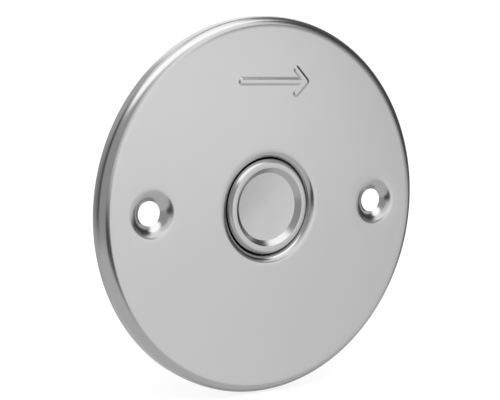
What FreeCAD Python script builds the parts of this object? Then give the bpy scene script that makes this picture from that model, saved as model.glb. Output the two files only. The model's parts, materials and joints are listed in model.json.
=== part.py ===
import FreeCAD, Part
import os
import re

import Sketcher

# A metal push button in a round pressed cover plate, in millimetres.
#
# The origin is the plate's centre on the wall plane, where the rim's rear edge stands.
# +X is to the right, +Z is up, and +Y goes into the wall, so the front faces -Y.
# Everything is stacked along the Y axis. Each sub-part is drawn from its own front face,
# and its Placement puts that face at its station on the axis.

DIMENSIONS = {
    # cover plate, pressed from one sheet
    "plate_diameter": 98.0,
    "sheet_thickness": 1.2,
    "rim_depth": 4.5,
    "rim_bend": 2.4,
    "rim_inner_bend": 1.2,
    "collar_bore": 25.2,
    "collar_bend": 2.2,
    "collar_inner_bend": 0.9,
    "cup_corner": 0.6,
    "cup_outer_corner": 1.8,
    "floor_hole": 22.2,
    # dished holes for the two countersunk fixing screws
    "screw_pitch": 70.0,
    "screw_hole": 6.2,
    "screw_land": 0.5,
    "dish_depth": 1.82,
    "dish_slope": 43.0,
    "dish_bend": 4.4,
    "dish_rear_bend": 2.2,
    # raised tactile arrow
    "mark_length": 21.5,
    "mark_height": 7.5,
    "mark_stroke": 1.5,
    "mark_relief": 0.3,
    "mark_side": 0.35,
    "mark_up": 32.4,
    # wall gasket
    "wall_gasket_outer": 93.0,
    "wall_gasket_inner": 87.2,
    # button cap and its stem, turned in one
    "cap_diameter": 24.6,
    "cap_ring_outer": 23.2,
    "cap_ring_inner": 20.4,
    "cap_disc": 17.7,
    "cap_disc_depth": 1.2,
    "cap_chamfer_depth": 1.05,
    "cap_height": 3.2,
    "cap_spring_seat": 14.0,
    "cap_spring_seat_depth": 0.5,
    "stem_diameter": 8.0,
    "stem_groove": 6.4,
    "stem_tail": 1.6,
    "press_travel": 1.5,
    # switch barrel, M22 x 1
    "flange_clearance": 0.2,
    "flange_diameter": 24.6,
    "flange_thickness": 1.6,
    "barrel_diameter": 21.9,
    "front_bore": 16.0,
    "spring_pocket": 4.6,
    "step_bore": 13.0,
    "step_thickness": 1.5,
    "rear_bore": 18.0,
    "barrel_end_margin": 1.6,
    "barrel_chamfer": 0.5,
    # parts that hold the barrel in the plate
    "seat_gasket_thickness": 1.0,
    "seat_gasket_outer": 23.8,
    "washer_thickness": 0.8,
    "washer_root": 26.0,
    "washer_outside": 27.6,
    "washer_tooth_width": 1.4,
    "washer_teeth": 18,
    "nut_flats": 27.0,
    "nut_thickness": 4.0,
    "nut_bore": 22.0,
    "nut_chamfer": 0.7,
    # stem bearing and seal
    "bush_length": 8.0,
    "slip": 0.05,
    "bush_groove_front": 1.5,
    "bush_groove_width": 2.0,
    "bush_groove_diameter": 11.2,
    "stem_ring_section": 1.5,
    # stop washer and retaining clip on the stem
    "stop_washer_thickness": 0.6,
    "stop_washer_outside": 12.4,
    "clip_thickness": 0.8,
    "clip_outside": 11.6,
    "clip_mouth": 5.4,
    "clip_relief": 2.4,
    # contact housing
    "skirt_depth": 3.5,
    "skirt_bore": 14.8,
    "partition_thickness": 1.4,
    "chamber_depth": 8.5,
    "chamber_bore": 15.2,
    "plunger_hole": 4.2,
    "housing_groove_width": 1.2,
    "housing_ring_section": 1.0,
    # plunger
    "rest_gap": 0.1,
    "plunger_nose": 4.0,
    "plunger_collar": 6.8,
    "plunger_collar_thickness": 1.1,
    "plunger_body": 6.0,
    "window_height": 4.0,
    "window_width": 3.0,
    "plunger_heel": 0.8,
    "plunger_pip": 2.4,
    "plunger_pip_height": 0.8,
    # contacts
    "contact_gap": 1.05,
    "bridge_length": 12.8,
    "bridge_width": 2.8,
    "bridge_thickness": 0.6,
    "tip_diameter": 2.4,
    "tip_height": 0.5,
    "tip_side": 5.2,
    "strip_thickness": 0.6,
    "strip_width": 3.6,
    "strip_inner_end": 3.6,
    "strip_tab_end": 2.2,
    "strip_side": 7.2,
    # rear cover and terminals
    "rear_cover_thickness": 2.5,
    "well_diameter": 4.8,
    "well_depth": 1.8,
    "terminal_side": 4.6,
    "screw_length": 3.0,
    "screw_shank": 2.3,
    "screw_head": 4.2,
    "screw_head_height": 1.6,
    "screw_slot_width": 0.6,
    "screw_slot_depth": 0.7,
    "clamp_size": 4.2,
    "clamp_thickness": 0.6,
    "barrier_thickness": 1.2,
    "barrier_height": 2.8,
    "barrier_length": 13.6,
    # internal ring that holds the rear cover
    "circlip_inside": 15.4,
    "circlip_outside": 19.0,
    "circlip_groove": 19.2,
    "circlip_thickness": 1.0,
    "circlip_mouth": 4.4,
    "circlip_lug": 2.4,
    "circlip_lug_hole": 1.0,
    "circlip_lug_side": 3.4,
    "circlip_lug_down": 7.2,
    # springs
    "return_spring_coil": 12.0,
    "return_spring_wire": 0.8,
    "return_spring_turns": 4.5,
    "plunger_spring_coil": 3.8,
    "plunger_spring_wire": 0.3,
    "plunger_spring_turns": 4.5,
    "contact_spring_coil": 2.1,
    "contact_spring_wire": 0.25,
    "contact_spring_turns": 5.0,
}

doc = FreeCAD.newDocument("push_button")
sheet = doc.addObject("Spreadsheet::Sheet", "Sizes")
for row, (alias, value) in enumerate(DIMENSIONS.items(), 1):
    sheet.set(f"A{row}", str(value))
    sheet.setAlias(f"A{row}", alias)
doc.recompute()

NODES = []
TOUCH = 1e-4


# ---- sizes as expressions ----


def bound(text):
    """The same sum with every name pointed at its cell of the sheet."""
    return re.sub(r"[a-z]\w*\b(?!\()", lambda word: f"Sizes.{word.group()}", text)


def size(text):
    """The number that a sum of named sizes comes to now."""
    return float(sheet.evalExpression(bound(text)))


# ---- stations along the axis, from the front of the plate to the back of the barrel ----

FACE = "-rim_depth"
CAP_REAR = f"{FACE} + cap_height"
FLANGE = f"{CAP_REAR} + press_travel + flange_clearance"
SEAT_GASKET = f"{FLANGE} + flange_thickness"
FLOOR = f"{SEAT_GASKET} + seat_gasket_thickness"
WASHER = f"{FLOOR} + sheet_thickness"
NUT = f"{WASHER} + washer_thickness"
BUSH = f"{FLANGE} + spring_pocket"
STEP = f"{BUSH} + bush_length"
CLIP = f"{STEP} + stop_washer_thickness"
STEM_END = f"{CLIP} + clip_thickness + stem_tail"
HOUSING = f"{STEP} + step_thickness"
PARTITION = f"{HOUSING} + skirt_depth"
CHAMBER = f"{PARTITION} + partition_thickness"
COVER = f"{CHAMBER} + chamber_depth"
CIRCLIP = f"{COVER} + rear_cover_thickness"
BARREL_END = f"{CIRCLIP} + circlip_thickness + barrel_end_margin"
PLUNGER = f"{STEM_END} + rest_gap"
STRIP = f"{COVER} - strip_thickness"
FIXED_TIP = f"{STRIP} - tip_height"
BRIDGE_TIP = f"{FIXED_TIP} - contact_gap - tip_height"
BRIDGE = f"{BRIDGE_TIP} - bridge_thickness"
WINDOW_REAR = BRIDGE_TIP
WINDOW_FRONT = f"{WINDOW_REAR} - window_height"
PLUNGER_REAR = f"{WINDOW_REAR} + plunger_heel"
CLAMP = f"{CIRCLIP} + strip_thickness"
SCREW_SEAT = f"{CLAMP} + clamp_thickness"


def span(start, end):
    """The length from one station to another, as a sum."""
    return f"({end}) - ({start})"


# ---- drawing helpers ----


def new_body(label, station="0", side="0"):
    """A body that is drawn from its own front face and put at a station on the axis."""
    body = doc.addObject("PartDesign::Body", label)
    body.Label = label
    body.setExpression("Placement.Base.x", bound(side))
    body.setExpression("Placement.Base.y", bound(station))
    return body


def origin_item(body, role):
    """One of the body's own origin planes or axes."""
    return next(item for item in body.Origin.OriginFeatures if item.Role == role)


def new_sketch(body, name, role, set_back="0"):
    """A sketch on one of the body's origin planes; set_back moves it along +Y on the XZ plane."""
    sketch = body.newObject("Sketcher::SketchObject", name)
    sketch.AttachmentSupport = (origin_item(body, role), [""])
    sketch.MapMode = "FlatFace"
    sketch.setExpression("AttachmentOffset.Base.z", bound(f"-({set_back})"))
    return sketch


def pin(sketch, geometry, point, x, y):
    """Hold one point of a sketch at two named distances from the origin."""
    for kind, distance in (("DistanceX", x), ("DistanceY", y)):
        constraint = Sketcher.Constraint(kind, -1, 1, geometry, point, size(distance))
        index = sketch.addConstraint(constraint)
        sketch.setExpression(f"Constraints[{index}]", bound(distance))


def draw_outline(sketch, corners):
    """A closed outline of straight lines through named corners."""
    first = sketch.GeometryCount
    count = len(corners)
    places = [FreeCAD.Vector(size(x), size(y), 0) for x, y in corners]
    for i in range(count):
        sketch.addGeometry(Part.LineSegment(places[i], places[(i + 1) % count]), False)
    for i in range(count):
        following = first + (i + 1) % count
        sketch.addConstraint(Sketcher.Constraint("Coincident", first + i, 2, following, 1))
    for i, (x, y) in enumerate(corners):
        pin(sketch, first + i, 1, x, y)


def draw_circle(sketch, x, y, diameter):
    """A circle of a named diameter about a named centre."""
    centre = FreeCAD.Vector(size(x), size(y), 0)
    circle = Part.Circle(centre, FreeCAD.Vector(0, 0, 1), size(diameter) / 2)
    geometry = sketch.addGeometry(circle, False)
    pin(sketch, geometry, 3, x, y)
    index = sketch.addConstraint(Sketcher.Constraint("Diameter", geometry, size(diameter)))
    sketch.setExpression(f"Constraints[{index}]", bound(diameter))


def rectangle(low_x, low_y, high_x, high_y):
    """The corners of a rectangle."""
    return [(low_x, low_y), (high_x, low_y), (high_x, high_y), (low_x, high_y)]


def turn(body, name, corners, about=None, cut=False):
    """Turn an outline (radius, depth) about the Y axis, or about a line parallel to it."""
    sketch = new_sketch(body, name + "_outline", "XY_Plane")
    axis = "V_Axis"
    if about:
        start = FreeCAD.Vector(size(about), 0, 0)
        sketch.addGeometry(Part.LineSegment(start, start + FreeCAD.Vector(0, 1, 0)), True)
        pin(sketch, 0, 1, about, "0")
        pin(sketch, 0, 2, about, "1")
        axis = "Axis0"
    draw_outline(sketch, corners)
    feature = body.newObject("PartDesign::Groove" if cut else "PartDesign::Revolution", name)
    feature.Profile = sketch
    feature.ReferenceAxis = (sketch, [axis])
    feature.Angle = 360
    doc.recompute()
    return feature


def slab(body, name, sketch, length, cut=False, symmetric=False, backwards=False):
    """Pad or pocket a sketch through a named length."""
    feature = body.newObject("PartDesign::Pocket" if cut else "PartDesign::Pad", name)
    feature.Profile = sketch
    feature.SideType = "Symmetric" if symmetric else "One side"
    feature.Reversed = backwards
    feature.setExpression("Length", bound(length))
    doc.recompute()
    return feature


def plate_of(body, name, length, *draw):
    """Pad outlines drawn on the front face into the depth of the object."""
    sketch = new_sketch(body, name + "_outline", "XZ_Plane")
    for kind, arguments in draw:
        kind(sketch, *arguments)
    return slab(body, name, sketch, length, backwards=True)


def cut_through(body, name, length, *draw):
    """Cut outlines drawn on the front face into the depth of the object."""
    sketch = new_sketch(body, name + "_outline", "XZ_Plane")
    for kind, arguments in draw:
        kind(sketch, *arguments)
    return slab(body, name, sketch, length, cut=True)


def side_cut(body, name, corners, width):
    """Cut an outline (x, depth) evenly to both sides of the XY plane."""
    sketch = new_sketch(body, name + "_outline", "XY_Plane")
    draw_outline(sketch, corners)
    return slab(body, name, sketch, width, cut=True, symmetric=True)


def side_pad(body, name, corners, width):
    """Pad an outline (x, depth) evenly to both sides of the XY plane."""
    sketch = new_sketch(body, name + "_outline", "XY_Plane")
    draw_outline(sketch, corners)
    return slab(body, name, sketch, width, symmetric=True)


def ring_edges(feature, radius, depth, side="0"):
    """The names of a feature's round edges of one radius at one depth about one axis."""
    found = []
    for number, edge in enumerate(feature.Shape.Edges, 1):
        if not hasattr(edge.Curve, "Radius"):
            continue
        centre = edge.Curve.Center
        offsets = (edge.Curve.Radius - size(radius), centre.y - size(depth), abs(centre.x) - size(side))
        if max(abs(offset) for offset in offsets) < TOUCH:
            found.append(f"Edge{number}")
    return found


def ease(body, name, kind, amount, *edges):
    """Round (Fillet) or bevel (Chamfer) ring edges of the body's tip by a named amount."""
    base = body.Tip
    names = [edge for place in edges for edge in ring_edges(base, *place)]
    if not names:
        raise ValueError(f"{name} found no edge")
    feature = body.newObject(f"PartDesign::{kind}", name)
    feature.Base = (base, names)
    feature.setExpression("Radius" if kind == "Fillet" else "Size", bound(amount))
    doc.recompute()
    return feature


def mirror_features(body, name, *features):
    """Repeat features on the other side of the YZ plane."""
    feature = body.newObject("PartDesign::Mirrored", name)
    feature.Originals = list(features)
    feature.MirrorPlane = (origin_item(body, "YZ_Plane"), [""])
    body.Tip = feature
    doc.recompute()


def repeat_round(body, name, feature, count):
    """Repeat a feature a named number of times about the Y axis."""
    pattern = body.newObject("PartDesign::PolarPattern", name)
    pattern.Originals = [feature]
    pattern.Axis = (origin_item(body, "Y_Axis"), [""])
    pattern.Angle = 360
    pattern.setExpression("Occurrences", bound(count))
    body.Tip = pattern
    doc.recompute()


def mirror_image(source, label):
    """The mirror image of a piece on the other side of the YZ plane."""
    image = doc.addObject("Part::Mirroring", label)
    image.Label = label
    image.Source = source
    image.Normal = FreeCAD.Vector(1, 0, 0)
    return image


def pair(label, right):
    """Two alike pieces, left and right, in one node."""
    both = doc.addObject("Part::Compound", label)
    both.Label = label
    both.Links = [right, mirror_image(right, label + "_left_one")]
    NODES.append(both)


def tube(label, station, length, outside, inside):
    """A plain ring with square edges."""
    body = new_body(label, station)
    turn(body, label + "_ring", rectangle(f"({inside}) / 2", "0", f"({outside}) / 2", length))
    NODES.append(body)
    return body


def rubber_ring(label, station, section, middle):
    """An O-ring about the Y axis; middle is the diameter of its section's centre line."""
    ring = doc.addObject("Part::Torus", label)
    ring.Label = label
    ring.setExpression("Radius1", bound(f"({middle}) / 2"))
    ring.setExpression("Radius2", bound(f"({section}) / 2"))
    ring.Placement = FreeCAD.Placement(FreeCAD.Vector(), FreeCAD.Rotation(FreeCAD.Vector(1, 0, 0), -90))
    ring.setExpression("Placement.Base.y", bound(station))
    NODES.append(ring)


def coil_spring(label, station, length, coil, wire, turns):
    """A compression spring about the Y axis between two stations."""
    helix = doc.addObject("Part::Helix", label + "_path")
    helix.setExpression("Radius", bound(f"{coil} / 2"))
    helix.setExpression("Height", bound(f"({length}) - {wire}"))
    helix.setExpression("Pitch", bound(f"(({length}) - {wire}) / {turns}"))
    section = doc.addObject("Part::Circle", label + "_section")
    section.setExpression("Radius", bound(f"{wire} / 2"))
    section.Placement = FreeCAD.Placement(FreeCAD.Vector(), FreeCAD.Rotation(FreeCAD.Vector(1, 0, 0), 90))
    section.setExpression("Placement.Base.x", bound(f"{coil} / 2"))
    spring = doc.addObject("Part::Sweep", label)
    spring.Label = label
    spring.Sections = [section]
    spring.Spine = (helix, ["Edge1"])
    spring.Solid = True
    spring.Frenet = True
    spring.Placement = FreeCAD.Placement(FreeCAD.Vector(), FreeCAD.Rotation(FreeCAD.Vector(1, 0, 0), -90))
    spring.setExpression("Placement.Base.y", bound(f"{station} + {wire} / 2"))
    NODES.append(spring)


# ---- cover plate and wall gasket ----


def cover_plate():
    """Pressed plate: turned-back rim, drawn cup for the button, two dished holes, raised arrow."""
    body = new_body("cover_plate", FACE)
    floor = span(FACE, FLOOR)
    under_floor = span(FACE, WASHER)
    cup = "collar_bore / 2"
    cup_back = "collar_bore / 2 + sheet_thickness"
    rim = "plate_diameter / 2"
    rim_back = "plate_diameter / 2 - sheet_thickness"
    turn(
        body,
        "pressed_sheet",
        [
            ("floor_hole / 2", floor),
            (cup, floor),
            (cup, "0"),
            (rim, "0"),
            (rim, "rim_depth"),
            (rim_back, "rim_depth"),
            (rim_back, "sheet_thickness"),
            (cup_back, "sheet_thickness"),
            (cup_back, under_floor),
            ("floor_hole / 2", under_floor),
        ],
    )
    ease(body, "rim_roll", "Fillet", "rim_bend", (rim, "0"))
    ease(body, "rim_roll_inside", "Fillet", "rim_inner_bend", (rim_back, "sheet_thickness"))
    ease(body, "collar_lip", "Fillet", "collar_bend", (cup, "0"))
    ease(body, "collar_lip_inside", "Fillet", "collar_inner_bend", (cup_back, "sheet_thickness"))
    ease(body, "cup_corner_front", "Fillet", "cup_corner", (cup, floor))
    ease(body, "cup_corner_rear", "Fillet", "cup_outer_corner", (cup_back, under_floor))

    # Each dish is a cone whose sheet keeps its thickness. The punch leaves a short straight wall
    # at the hole, and behind it the cut edge stands square to the sheet.
    axis = "screw_pitch / 2"
    hole_radius = "screw_hole / 2"
    mouth_radius = f"{hole_radius} + dish_depth / tan(dish_slope)"
    skirt_radius = f"{mouth_radius} + sheet_thickness * tan(dish_slope / 2)"
    hole = f"{axis} + {hole_radius}"
    mouth = f"{axis} + {mouth_radius}"
    skirt = f"{axis} + {skirt_radius}"
    edge = f"{hole} + sheet_thickness * sin(dish_slope)"
    edge_depth = "dish_depth + sheet_thickness * cos(dish_slope)"
    bulge = turn(
        body,
        "dish_back",
        [
            (hole, "sheet_thickness / 2"),
            (skirt, "sheet_thickness / 2"),
            (skirt, "sheet_thickness"),
            (edge, edge_depth),
            (hole, edge_depth),
        ],
        about=axis,
    )
    dish = turn(
        body,
        "dish_front",
        [
            (axis, "0"),
            (mouth, "0"),
            (hole, "dish_depth"),
            (hole, "dish_depth + screw_land"),
            (edge, edge_depth),
            (axis, edge_depth),
        ],
        about=axis,
        cut=True,
    )
    mirror_features(body, "left_dish", bulge, dish)
    ease(body, "dish_lip", "Fillet", "dish_bend", (mouth_radius, "0", axis))
    ease(body, "dish_root", "Fillet", "dish_rear_bend", (skirt_radius, "sheet_thickness", axis))

    # Arrow outline: a bar whose right end carries a head of two bars at 45 degrees.
    sketch = new_sketch(body, "arrow_outline", "XZ_Plane")
    slant = "mark_stroke * 0.7071"
    tail = "mark_side - mark_length / 2"
    tip = "mark_side + mark_length / 2"
    half = "mark_stroke / 2"
    shoulder = f"{tip} - mark_stroke * 1.4142 - {half}"
    wing = f"{tip} - mark_height / 2"
    upper = [
        (tail, half),
        (shoulder, half),
        (f"{wing} - {slant}", f"mark_height / 2 - {slant}"),
        (wing, "mark_height / 2"),
    ]
    lower = [(x, f"-({up})") for x, up in reversed(upper)]
    corners = upper + [(tip, "0")] + lower
    draw_outline(sketch, [(x, f"mark_up + {up}") for x, up in corners])
    slab(body, "raised_arrow", sketch, "mark_relief")
    NODES.append(body)


def wall_gasket():
    """Rubber ring between the plate's back and the wall, inside the rim."""
    depth = "rim_depth - sheet_thickness"
    tube("wall_gasket", f"-({depth})", depth, "wall_gasket_outer", "wall_gasket_inner")


# ---- button cap and what rides on its stem ----


def button_cap():
    """Turned head with its stem: chamfered edge, flat ring, recessed disc, groove for the clip."""
    body = new_body("button_cap", FACE)
    end = span(FACE, STEM_END)
    seat = "cap_height - cap_spring_seat_depth"
    turn(
        body,
        "head_and_stem",
        [
            ("0", "cap_disc_depth"),
            ("cap_disc / 2", "cap_disc_depth"),
            ("cap_ring_inner / 2", "0"),
            ("cap_ring_outer / 2", "0"),
            ("cap_diameter / 2", "cap_chamfer_depth"),
            ("cap_diameter / 2", "cap_height"),
            ("cap_spring_seat / 2", "cap_height"),
            ("cap_spring_seat / 2", seat),
            ("stem_diameter / 2", seat),
            ("stem_diameter / 2", end),
            ("0", end),
        ],
    )
    groove = span(FACE, CLIP)
    groove_corners = rectangle("stem_groove / 2", groove, "stem_diameter", f"{groove} + clip_thickness")
    turn(body, "clip_groove", groove_corners, cut=True)
    NODES.append(body)


def stop_washer():
    """Washer on the stem that meets the bush when the cap is up."""
    inside = "stem_diameter + slip * 4"
    tube("stop_washer", STEP, "stop_washer_thickness", "stop_washer_outside", inside)


def retaining_clip():
    """E-clip in the stem's groove: a ring with an open mouth and two relief notches."""
    body = new_body("retaining_clip", CLIP)
    grip = "stem_groove + slip"
    ring = [(draw_circle, ("0", "0", "clip_outside")), (draw_circle, ("0", "0", grip))]
    plate_of(body, "clip_ring", "clip_thickness", *ring)
    mouth = rectangle("-clip_mouth / 2", "-clip_outside", "clip_mouth / 2", "0")
    cut_through(body, "clip_opening", "clip_thickness", (draw_outline, (mouth,)))
    sides = ("stem_groove / 2", "-stem_groove / 2")
    notches = [(draw_circle, (x, "clip_relief / 2", "clip_relief")) for x in sides]
    cut_through(body, "clip_notches", "clip_thickness", *notches)
    NODES.append(body)


# ---- barrel and what clamps it in the plate's cup ----


def switch_barrel():
    """Flanged barrel: wide bore for the spring and bush, a step, and a rear bore for the contacts."""
    body = new_body("switch_barrel", FLANGE)
    step = span(FLANGE, STEP)
    rear = span(FLANGE, HOUSING)
    end = span(FLANGE, BARREL_END)
    turn(
        body,
        "barrel_wall",
        [
            ("front_bore / 2", "0"),
            ("flange_diameter / 2", "0"),
            ("flange_diameter / 2", "flange_thickness"),
            ("barrel_diameter / 2", "flange_thickness"),
            ("barrel_diameter / 2", end),
            ("rear_bore / 2", end),
            ("rear_bore / 2", rear),
            ("step_bore / 2", rear),
            ("step_bore / 2", step),
            ("front_bore / 2", step),
        ],
    )
    groove = span(FLANGE, CIRCLIP)
    groove_end = f"{groove} + circlip_thickness"
    groove_corners = rectangle("step_bore / 2", groove, "circlip_groove / 2", groove_end)
    turn(body, "circlip_groove", groove_corners, cut=True)
    ease(body, "barrel_lead", "Chamfer", "barrel_chamfer", ("barrel_diameter / 2", end))
    NODES.append(body)


def seat_gasket():
    """Rubber ring under the barrel's flange, clear of the bend at the foot of the cup."""
    tube("seat_gasket", SEAT_GASKET, "seat_gasket_thickness", "seat_gasket_outer", "floor_hole")


def lock_washer():
    """Toothed washer behind the cup."""
    body = new_body("lock_washer", WASHER)
    root = rectangle("floor_hole / 2", "0", "washer_root / 2", "washer_thickness")
    turn(body, "washer_ring", root)
    reach = "washer_outside / 2"
    tooth = rectangle("-washer_tooth_width / 2", "floor_hole / 2 + 0.5", "washer_tooth_width / 2", reach)
    first = plate_of(body, "washer_tooth", "washer_thickness", (draw_outline, (tooth,)))
    repeat_round(body, "washer_tooth_ring", first, "washer_teeth")
    NODES.append(body)


def barrel_nut():
    """Hexagon nut with both rims bevelled."""
    body = new_body("barrel_nut", NUT)
    half = "nut_flats / 2"
    side = "nut_flats * 0.288675"
    point = "nut_flats * 0.57735"
    hexagon = [(side, half), ("-" + side, half), ("-" + point, "0")]
    hexagon += [("-" + side, "-" + half), (side, "-" + half), (point, "0")]
    blank = [(draw_outline, (hexagon,)), (draw_circle, ("0", "0", "nut_bore"))]
    plate_of(body, "nut_blank", "nut_thickness", *blank)
    outside = "nut_flats * 0.6"
    start = f"{outside} - nut_chamfer * 2.2"
    bevels = {
        "front_bevel": [(start, "0"), (outside, "0"), (outside, "nut_chamfer")],
        "rear_bevel": [
            (start, "nut_thickness"),
            (outside, "nut_thickness - nut_chamfer"),
            (outside, "nut_thickness"),
        ],
    }
    for name, corners in bevels.items():
        turn(body, name, corners, cut=True)
    NODES.append(body)


# ---- stem bearing and seal ----


def guide_bush():
    """Plastic bearing for the stem, with a groove for its seal."""
    body = new_body("guide_bush", BUSH)
    bore = "stem_diameter / 2 + slip"
    turn(body, "bush_wall", rectangle(bore, "0", "front_bore / 2 - slip", "bush_length"))
    groove_end = "bush_groove_front + bush_groove_width"
    inside = "stem_diameter / 2 - slip"
    groove = rectangle(inside, "bush_groove_front", "bush_groove_diameter / 2", groove_end)
    turn(body, "seal_groove", groove, cut=True)
    NODES.append(body)


def stem_o_ring():
    """Seal between the bush and the stem."""
    middle = "stem_diameter + slip * 2 + stem_ring_section"
    station = f"{BUSH} + bush_groove_front + bush_groove_width / 2"
    rubber_ring("stem_o_ring", station, "stem_ring_section", middle)


# ---- contact housing, plunger and contacts ----


def contact_housing():
    """Plastic cup: a skirt against the barrel's step, a partition, and the contact chamber."""
    body = new_body("contact_housing", HOUSING)
    outside = "rear_bore / 2 - slip"
    partition = "skirt_depth"
    chamber = "skirt_depth + partition_thickness"
    end = f"{chamber} + chamber_depth"
    turn(
        body,
        "housing_wall",
        [
            ("skirt_bore / 2", "0"),
            (outside, "0"),
            (outside, end),
            ("chamber_bore / 2", end),
            ("chamber_bore / 2", chamber),
            ("plunger_hole / 2", chamber),
            ("plunger_hole / 2", partition),
            ("skirt_bore / 2", partition),
        ],
    )
    groove = "skirt_depth + (partition_thickness - housing_groove_width) / 2"
    bottom = "rear_bore / 2 - housing_ring_section - slip"
    corners = rectangle(bottom, groove, "rear_bore / 2", f"{groove} + housing_groove_width")
    turn(body, "seal_groove", corners, cut=True)
    NODES.append(body)


def housing_o_ring():
    """Seal between the housing and the barrel."""
    middle = "rear_bore - housing_ring_section - slip"
    station = f"{PARTITION} + partition_thickness / 2"
    rubber_ring("housing_o_ring", station, "housing_ring_section", middle)


def plunger():
    """Follows the stem and carries the bridge in its window."""
    body = new_body("plunger", PLUNGER)
    collar = span(PLUNGER, f"{CHAMBER} + rest_gap")
    heel = span(PLUNGER, PLUNGER_REAR)
    turn(
        body,
        "plunger_core",
        [
            ("0", "0"),
            ("plunger_nose / 2", "0"),
            ("plunger_nose / 2", collar),
            ("plunger_collar / 2", collar),
            ("plunger_collar / 2", f"{collar} + plunger_collar_thickness"),
            ("plunger_body / 2", f"{collar} + plunger_collar_thickness"),
            ("plunger_body / 2", heel),
            ("plunger_pip / 2", heel),
            ("plunger_pip / 2", f"{heel} + plunger_pip_height"),
            ("0", f"{heel} + plunger_pip_height"),
        ],
    )
    front = span(PLUNGER, WINDOW_FRONT)
    rear = span(PLUNGER, WINDOW_REAR)
    side_cut(body, "window", rectangle("-plunger_body", front, "plunger_body", rear), "window_width")
    NODES.append(body)


def contact_bridge():
    """Strip that joins the two fixed contacts."""
    body = new_body("contact_bridge", BRIDGE)
    ends = "bridge_length / 2"
    side = "bridge_width / 2"
    strip = rectangle("-" + ends, "-" + side, ends, side)
    plate_of(body, "bridge_strip", "bridge_thickness", (draw_outline, (strip,)))
    NODES.append(body)


def contact_tips(label, station):
    """Two round contact buttons."""
    right = new_body(label + "_right_one", station, "tip_side")
    turn(right, label + "_disc", rectangle("0", "0", "tip_diameter / 2", "tip_height"))
    pair(label, right)


def fixed_contacts():
    """Bent brass strips from the fixed tips, through the rear cover, to the terminals."""
    body = new_body("fixed_contact_right", STRIP)
    height = "strip_thickness * 2 + rear_cover_thickness"
    leg = "strip_side - strip_thickness"
    bent = [
        ("strip_inner_end", "0"),
        ("strip_side", "0"),
        ("strip_side", height),
        ("strip_tab_end", height),
        ("strip_tab_end", f"{height} - strip_thickness"),
        (leg, f"{height} - strip_thickness"),
        (leg, "strip_thickness"),
        ("strip_inner_end", "strip_thickness"),
    ]
    side_pad(body, "bent_strip", bent, "strip_width")
    clear = "screw_shank / 2 + slip"
    drill = rectangle("terminal_side", f"{height} - strip_thickness", f"terminal_side + {clear}", height)
    turn(body, "screw_hole", drill, about="terminal_side", cut=True)
    NODES.append(body)
    NODES.append(mirror_image(body, "fixed_contact_left"))


def rear_cover():
    """Disc that closes the chamber: spring well, strip slots, screw holes and a barrier rib."""
    body = new_body("rear_cover", COVER)
    back = "rear_cover_thickness"
    turn(
        body,
        "cover_disc",
        [
            ("0", "well_depth"),
            ("well_diameter / 2", "well_depth"),
            ("well_diameter / 2", "0"),
            ("rear_bore / 2 - slip", "0"),
            ("rear_bore / 2 - slip", back),
            ("0", back),
        ],
    )
    rib = rectangle("-barrier_thickness / 2", back, "barrier_thickness / 2", f"{back} + barrier_height")
    side_pad(body, "barrier", rib, "barrier_length")
    room = "slip * 2"
    slot_corners = rectangle(f"strip_side - strip_thickness - {room}", "0", f"strip_side + {room}", back)
    slot = side_cut(body, "strip_slot", slot_corners, f"strip_width + {room} * 2")
    bottom = span(COVER, f"{SCREW_SEAT} - screw_length - slip")
    drill = rectangle("terminal_side", bottom, "terminal_side + screw_shank / 2 + slip", back)
    hole = turn(body, "screw_hole", drill, about="terminal_side", cut=True)
    mirror_features(body, "left_terminal", slot, hole)
    NODES.append(body)


def terminal_screws():
    """Two slotted screws."""
    station = f"{SCREW_SEAT} - screw_length"
    right = new_body("terminal_screws_right_one", station, "terminal_side")
    top = "screw_length + screw_head_height"
    turn(
        right,
        "screw",
        [
            ("0", "0"),
            ("screw_shank / 2", "0"),
            ("screw_shank / 2", "screw_length"),
            ("screw_head / 2", "screw_length"),
            ("screw_head / 2", top),
            ("0", top),
        ],
    )
    slot = rectangle("-screw_head", f"{top} - screw_slot_depth", "screw_head", top)
    side_cut(right, "driver_slot", slot, "screw_slot_width")
    pair("terminal_screws", right)


def clamp_washers():
    """Two square washers that press the wires on the strips."""
    right = new_body("clamp_washers_right_one", CLAMP, "terminal_side")
    half = "clamp_size / 2"
    square = rectangle("-" + half, "-" + half, half, half)
    hole = (draw_circle, ("0", "0", "screw_shank + slip * 2"))
    plate_of(right, "clamp_square", "clamp_thickness", (draw_outline, (square,)), hole)
    pair("clamp_washers", right)


def barrel_circlip():
    """Internal ring with two lugs, in the barrel's groove behind the rear cover."""
    body = new_body("barrel_circlip", CIRCLIP)
    ring = [(draw_circle, ("0", "0", "circlip_outside")), (draw_circle, ("0", "0", "circlip_inside"))]
    plate_of(body, "circlip_ring", "circlip_thickness", *ring)
    mouth = rectangle("-circlip_mouth / 2", "-circlip_outside", "circlip_mouth / 2", "0")
    cut_through(body, "circlip_opening", "circlip_thickness", (draw_outline, (mouth,)))
    places = [(x, "-circlip_lug_down") for x in ("circlip_lug_side", "-circlip_lug_side")]
    lugs = [(draw_circle, (x, z, "circlip_lug")) for x, z in places]
    plate_of(body, "circlip_lugs", "circlip_thickness", *lugs)
    holes = [(draw_circle, (x, z, "circlip_lug_hole")) for x, z in places]
    cut_through(body, "circlip_lug_holes", "circlip_thickness", *holes)
    NODES.append(body)


# ---- springs ----


def springs():
    """Return spring under the cap, plunger spring, and contact spring in the plunger's window."""
    cap_seat = f"{CAP_REAR} - cap_spring_seat_depth"
    coils = {
        "return_spring": (cap_seat, BUSH),
        "plunger_spring": (PLUNGER_REAR, f"{COVER} + well_depth"),
        "contact_spring": (WINDOW_FRONT, BRIDGE),
    }
    for label, (start, end) in coils.items():
        coil_spring(label, start, span(start, end), label + "_coil", label + "_wire", label + "_turns")


# ---- make, test and write every sub-part ----

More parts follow.
